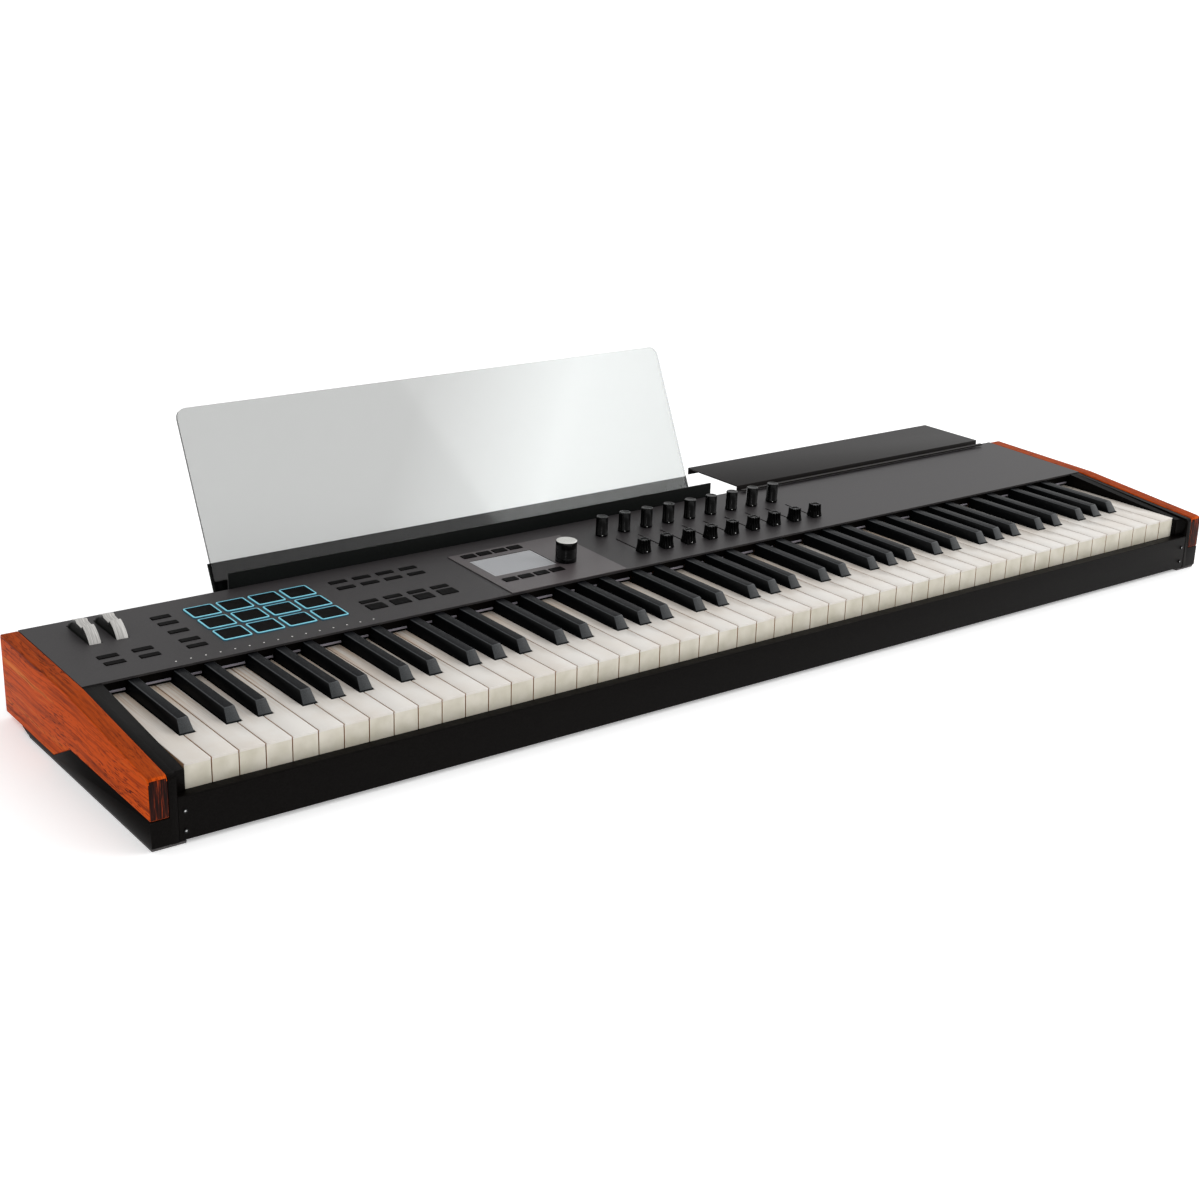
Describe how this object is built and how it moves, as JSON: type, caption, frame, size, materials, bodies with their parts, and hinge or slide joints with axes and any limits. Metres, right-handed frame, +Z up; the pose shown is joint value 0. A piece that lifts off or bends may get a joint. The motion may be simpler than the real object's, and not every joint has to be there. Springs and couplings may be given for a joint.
{
  "type": "synthesizer",
  "caption": "Stage keyboard synthesizer with wooden end panels, drum pads, knobs and faders, a clear music rest in a steel tray and a flat laptop shelf",
  "frame": {"origin": "centre of the footprint on the surface it stands on, music rest and shelf included", "axes": "+X to the right as the player sees it, +Y to the rear, +Z up"},
  "size_m": [1.292, 0.4213, 0.232],
  "materials": {
    "ivory_plastic": "satin ivory key plastic",
    "ebony_plastic": "satin black key plastic",
    "black_casting": "black semi-matt powder coat",
    "dark_panel": "dark warm grey satin",
    "red_wood": "reddish open-pored wood, satin oil",
    "dark_steel": "dark grey-green sheet steel, satin",
    "silver_paint": "silver face with dark sides",
    "black_rubber": "matt black silicone rubber",
    "grey_rubber": "grey rubber foot strip",
    "gloss_black": "gloss black",
    "plate_metal": "slightly lighter, glossier plate",
    "screen_glass": "pale grey screen",
    "clear_acrylic": "clear acrylic sheet",
    "green_fibreglass": "circuit board"
  },
  "bodies": {
    "case": {"bottom_case": "black_casting", "top_panel": "dark_panel", "front_rail": "black_casting", "wood_panel_left": "red_wood", "wood_panel_right": "red_wood", "end_frame_left": "black_casting", "end_frame_right": "black_casting", "foot_strip_left": "grey_rubber", "foot_strip_right": "grey_rubber", "keybed_chassis": "dark_steel", "key_guide_comb": "black_casting", "circuit_board": "green_fibreglass", "display_plate": "plate_metal", "display_glass": "screen_glass", "wheel_bracket": "dark_steel"},
    "music_rest": {"music_tray": "dark_steel", "music_rest_panel": "clear_acrylic"},
    "laptop_shelf": {"laptop_shelf": "dark_steel"},
    "white_keys_low": {"white_keys_low": "ivory_plastic"},
    "key_c4": {"key_c4": "ivory_plastic"},
    "key_d4": {"key_d4": "ivory_plastic"},
    "key_e4": {"key_e4": "ivory_plastic"},
    "key_f4": {"key_f4": "ivory_plastic"},
    "key_g4": {"key_g4": "ivory_plastic"},
    "key_a4": {"key_a4": "ivory_plastic"},
    "key_b4": {"key_b4": "ivory_plastic"},
    "white_keys_high": {"white_keys_high": "ivory_plastic"},
    "black_keys_low": {"black_keys_low": "ebony_plastic"},
    "key_c_sharp4": {"key_c_sharp4": "ebony_plastic"},
    "key_d_sharp4": {"key_d_sharp4": "ebony_plastic"},
    "key_f_sharp4": {"key_f_sharp4": "ebony_plastic"},
    "key_g_sharp4": {"key_g_sharp4": "ebony_plastic"},
    "key_a_sharp4": {"key_a_sharp4": "ebony_plastic"},
    "black_keys_high": {"black_keys_high": "ebony_plastic"},
    "pitch_wheel": {"pitch_wheel": "silver_paint"},
    "mod_wheel": {"mod_wheel": "silver_paint"},
    "menu_encoder": {"menu_encoder": "gloss_black"},
    "knob_1": {"knob_1": "gloss_black"},
    "knob_2": {"knob_2": "gloss_black"},
    "knob_3": {"knob_3": "gloss_black"},
    "knob_4": {"knob_4": "gloss_black"},
    "knob_5": {"knob_5": "gloss_black"},
    "knob_6": {"knob_6": "gloss_black"},
    "knob_7": {"knob_7": "gloss_black"},
    "knob_8": {"knob_8": "gloss_black"},
    "knob_9": {"knob_9": "gloss_black"},
    "fader_cap_1": {"fader_cap_1": "black_rubber"},
    "fader_cap_2": {"fader_cap_2": "black_rubber"},
    "fader_cap_3": {"fader_cap_3": "black_rubber"},
    "fader_cap_4": {"fader_cap_4": "black_rubber"},
    "fader_cap_5": {"fader_cap_5": "black_rubber"},
    "fader_cap_6": {"fader_cap_6": "black_rubber"},
    "fader_cap_7": {"fader_cap_7": "black_rubber"},
    "fader_cap_8": {"fader_cap_8": "black_rubber"},
    "fader_cap_9": {"fader_cap_9": "black_rubber"},
    "wheel_buttons": {"wheel_buttons": "black_rubber"},
    "pad_buttons": {"pad_buttons": "black_rubber"},
    "function_buttons": {"function_buttons": "black_rubber"},
    "screen_buttons": {"screen_buttons": "black_rubber"},
    "drum_pads": {"drum_pads": "black_rubber"}
  },
  "joints": [
    {"name": "music_rest_lift", "type": "slide", "parent": "case", "child": "music_rest", "axis": [0, 0, 1], "range_m": [0, 0.01]},
    {"name": "laptop_shelf_lift", "type": "slide", "parent": "case", "child": "laptop_shelf", "axis": [0, 0, 1], "range_m": [0, 0.01]},
    {"name": "white_keys_low_press", "type": "hinge", "parent": "case", "child": "white_keys_low", "pos_m": [-0.34075, 0.02325, 0.046], "axis": [1, 0, 0], "range_deg": [0, 2.6], "stiffness_Nm_per_rad": 59.8, "springref_deg": -5.16},
    {"name": "key_c4_press", "type": "hinge", "parent": "case", "child": "key_c4", "pos_m": [-0.05875, 0.02325, 0.046], "axis": [1, 0, 0], "range_deg": [0, 2.6], "stiffness_Nm_per_rad": 2.6, "springref_deg": -5.16},
    {"name": "key_d4_press", "type": "hinge", "parent": "case", "child": "key_d4", "pos_m": [-0.03525, 0.02325, 0.046], "axis": [1, 0, 0], "range_deg": [0, 2.6], "stiffness_Nm_per_rad": 2.6, "springref_deg": -5.16},
    {"name": "key_e4_press", "type": "hinge", "parent": "case", "child": "key_e4", "pos_m": [-0.01175, 0.02325, 0.046], "axis": [1, 0, 0], "range_deg": [0, 2.6], "stiffness_Nm_per_rad": 2.6, "springref_deg": -5.16},
    {"name": "key_f4_press", "type": "hinge", "parent": "case", "child": "key_f4", "pos_m": [0.01175, 0.02325, 0.046], "axis": [1, 0, 0], "range_deg": [0, 2.6], "stiffness_Nm_per_rad": 2.6, "springref_deg": -5.16},
    {"name": "key_g4_press", "type": "hinge", "parent": "case", "child": "key_g4", "pos_m": [0.03525, 0.02325, 0.046], "axis": [1, 0, 0], "range_deg": [0, 2.6], "stiffness_Nm_per_rad": 2.6, "springref_deg": -5.16},
    {"name": "key_a4_press", "type": "hinge", "parent": "case", "child": "key_a4", "pos_m": [0.05875, 0.02325, 0.046], "axis": [1, 0, 0], "range_deg": [0, 2.6], "stiffness_Nm_per_rad": 2.6, "springref_deg": -5.16},
    {"name": "key_b4_press", "type": "hinge", "parent": "case", "child": "key_b4", "pos_m": [0.08225, 0.02325, 0.046], "axis": [1, 0, 0], "range_deg": [0, 2.6], "stiffness_Nm_per_rad": 2.6, "springref_deg": -5.16},
    {"name": "white_keys_high_press", "type": "hinge", "parent": "case", "child": "white_keys_high", "pos_m": [0.3525, 0.02325, 0.046], "axis": [1, 0, 0], "range_deg": [0, 2.6], "stiffness_Nm_per_rad": 57.2, "springref_deg": -5.16},
    {"name": "black_keys_low_press", "type": "hinge", "parent": "case", "child": "black_keys_low", "pos_m": [-0.34, 0.02325, 0.046], "axis": [1, 0, 0], "range_deg": [0, 3.26], "stiffness_Nm_per_rad": 16, "springref_deg": -4.01},
    {"name": "key_c_sharp4_press", "type": "hinge", "parent": "case", "child": "key_c_sharp4", "pos_m": [-0.0494, 0.02325, 0.046], "axis": [1, 0, 0], "range_deg": [0, 3.26], "stiffness_Nm_per_rad": 1, "springref_deg": -4.01},
    {"name": "key_d_sharp4_press", "type": "hinge", "parent": "case", "child": "key_d_sharp4", "pos_m": [-0.0211, 0.02325, 0.046], "axis": [1, 0, 0], "range_deg": [0, 3.26], "stiffness_Nm_per_rad": 1, "springref_deg": -4.01},
    {"name": "key_f_sharp4_press", "type": "hinge", "parent": "case", "child": "key_f_sharp4", "pos_m": [0.0199, 0.02325, 0.046], "axis": [1, 0, 0], "range_deg": [0, 3.26], "stiffness_Nm_per_rad": 1, "springref_deg": -4.01},
    {"name": "key_g_sharp4_press", "type": "hinge", "parent": "case", "child": "key_g_sharp4", "pos_m": [0.047, 0.02325, 0.046], "axis": [1, 0, 0], "range_deg": [0, 3.26], "stiffness_Nm_per_rad": 1, "springref_deg": -4.01},
    {"name": "key_a_sharp4_press", "type": "hinge", "parent": "case", "child": "key_a_sharp4", "pos_m": [0.0741, 0.02325, 0.046], "axis": [1, 0, 0], "range_deg": [0, 3.26], "stiffness_Nm_per_rad": 1, "springref_deg": -4.01},
    {"name": "black_keys_high_press", "type": "hinge", "parent": "case", "child": "black_keys_high", "pos_m": [0.34, 0.02325, 0.046], "axis": [1, 0, 0], "range_deg": [0, 3.26], "stiffness_Nm_per_rad": 15, "springref_deg": -4.01},
    {"name": "pitch_bend", "type": "hinge", "parent": "case", "child": "pitch_wheel", "pos_m": [-0.584, 0.06331, 0.06401], "axis": [1, 0, 0], "range_deg": [-40, 40], "stiffness_Nm_per_rad": 0.05},
    {"name": "modulation", "type": "hinge", "parent": "case", "child": "mod_wheel", "pos_m": [-0.559, 0.06331, 0.06401], "axis": [1, 0, 0], "range_deg": [-35, 35]},
    {"name": "menu_encoder_turn", "type": "hinge", "parent": "case", "child": "menu_encoder", "pos_m": [-0.1023, 0.00483, 0.07778], "axis": [0, -0.0262, 0.9997], "continuous": true},
    {"name": "knob_1_turn", "type": "hinge", "parent": "case", "child": "knob_1", "pos_m": [-0.022, 0.05232, 0.07903], "axis": [0, -0.0262, 0.9997], "continuous": true},
    {"name": "knob_2_turn", "type": "hinge", "parent": "case", "child": "knob_2", "pos_m": [0.0078, 0.05232, 0.07903], "axis": [0, -0.0262, 0.9997], "continuous": true},
    {"name": "knob_3_turn", "type": "hinge", "parent": "case", "child": "knob_3", "pos_m": [0.0376, 0.05232, 0.07903], "axis": [0, -0.0262, 0.9997], "continuous": true},
    {"name": "knob_4_turn", "type": "hinge", "parent": "case", "child": "knob_4", "pos_m": [0.0674, 0.05232, 0.07903], "axis": [0, -0.0262, 0.9997], "continuous": true},
    {"name": "knob_5_turn", "type": "hinge", "parent": "case", "child": "knob_5", "pos_m": [0.0972, 0.05232, 0.07903], "axis": [0, -0.0262, 0.9997], "continuous": true},
    {"name": "knob_6_turn", "type": "hinge", "parent": "case", "child": "knob_6", "pos_m": [0.127, 0.05232, 0.07903], "axis": [0, -0.0262, 0.9997], "continuous": true},
    {"name": "knob_7_turn", "type": "hinge", "parent": "case", "child": "knob_7", "pos_m": [0.1568, 0.05232, 0.07903], "axis": [0, -0.0262, 0.9997], "continuous": true},
    {"name": "knob_8_turn", "type": "hinge", "parent": "case", "child": "knob_8", "pos_m": [0.1866, 0.05232, 0.07903], "axis": [0, -0.0262, 0.9997], "continuous": true},
    {"name": "knob_9_turn", "type": "hinge", "parent": "case", "child": "knob_9", "pos_m": [0.2164, 0.05232, 0.07903], "axis": [0, -0.0262, 0.9997], "continuous": true},
    {"name": "fader_1_slide", "type": "slide", "parent": "case", "child": "fader_cap_1", "axis": [0, 0.9997, 0.0262], "range_m": [0, 0.045]},
    {"name": "fader_2_slide", "type": "slide", "parent": "case", "child": "fader_cap_2", "axis": [0, 0.9997, 0.0262], "range_m": [0, 0.045]},
    {"name": "fader_3_slide", "type": "slide", "parent": "case", "child": "fader_cap_3", "axis": [0, 0.9997, 0.0262], "range_m": [0, 0.045]},
    {"name": "fader_4_slide", "type": "slide", "parent": "case", "child": "fader_cap_4", "axis": [0, 0.9997, 0.0262], "range_m": [0, 0.045]},
    {"name": "fader_5_slide", "type": "slide", "parent": "case", "child": "fader_cap_5", "axis": [0, 0.9997, 0.0262], "range_m": [0, 0.045]},
    {"name": "fader_6_slide", "type": "slide", "parent": "case", "child": "fader_cap_6", "axis": [0, 0.9997, 0.0262], "range_m": [0, 0.045]},
    {"name": "fader_7_slide", "type": "slide", "parent": "case", "child": "fader_cap_7", "axis": [0, 0.9997, 0.0262], "range_m": [0, 0.045]},
    {"name": "fader_8_slide", "type": "slide", "parent": "case", "child": "fader_cap_8", "axis": [0, 0.9997, 0.0262], "range_m": [0, 0.045]},
    {"name": "fader_9_slide", "type": "slide", "parent": "case", "child": "fader_cap_9", "axis": [0, 0.9997, 0.0262], "range_m": [0, 0.045]},
    {"name": "wheel_buttons_press", "type": "slide", "parent": "case", "child": "wheel_buttons", "axis": [0, 0.0262, -0.9997], "range_m": [0, 0.001], "stiffness_N_per_m": 600, "springref_m": -0.002},
    {"name": "pad_buttons_press", "type": "slide", "parent": "case", "child": "pad_buttons", "axis": [0, 0.0262, -0.9997], "range_m": [0, 0.001], "stiffness_N_per_m": 600, "springref_m": -0.002},
    {"name": "function_buttons_press", "type": "slide", "parent": "case", "child": "function_buttons", "axis": [0, 0.0262, -0.9997], "range_m": [0, 0.001], "stiffness_N_per_m": 1500, "springref_m": -0.002},
    {"name": "screen_buttons_press", "type": "slide", "parent": "case", "child": "screen_buttons", "axis": [0, 0.0262, -0.9997], "range_m": [0, 0.001], "stiffness_N_per_m": 1000, "springref_m": -0.002},
    {"name": "drum_pads_press", "type": "slide", "parent": "case", "child": "drum_pads", "axis": [0, 0.0262, -0.9997], "range_m": [0, 0.0008], "stiffness_N_per_m": 3000, "springref_m": -0.001}
  ]
}
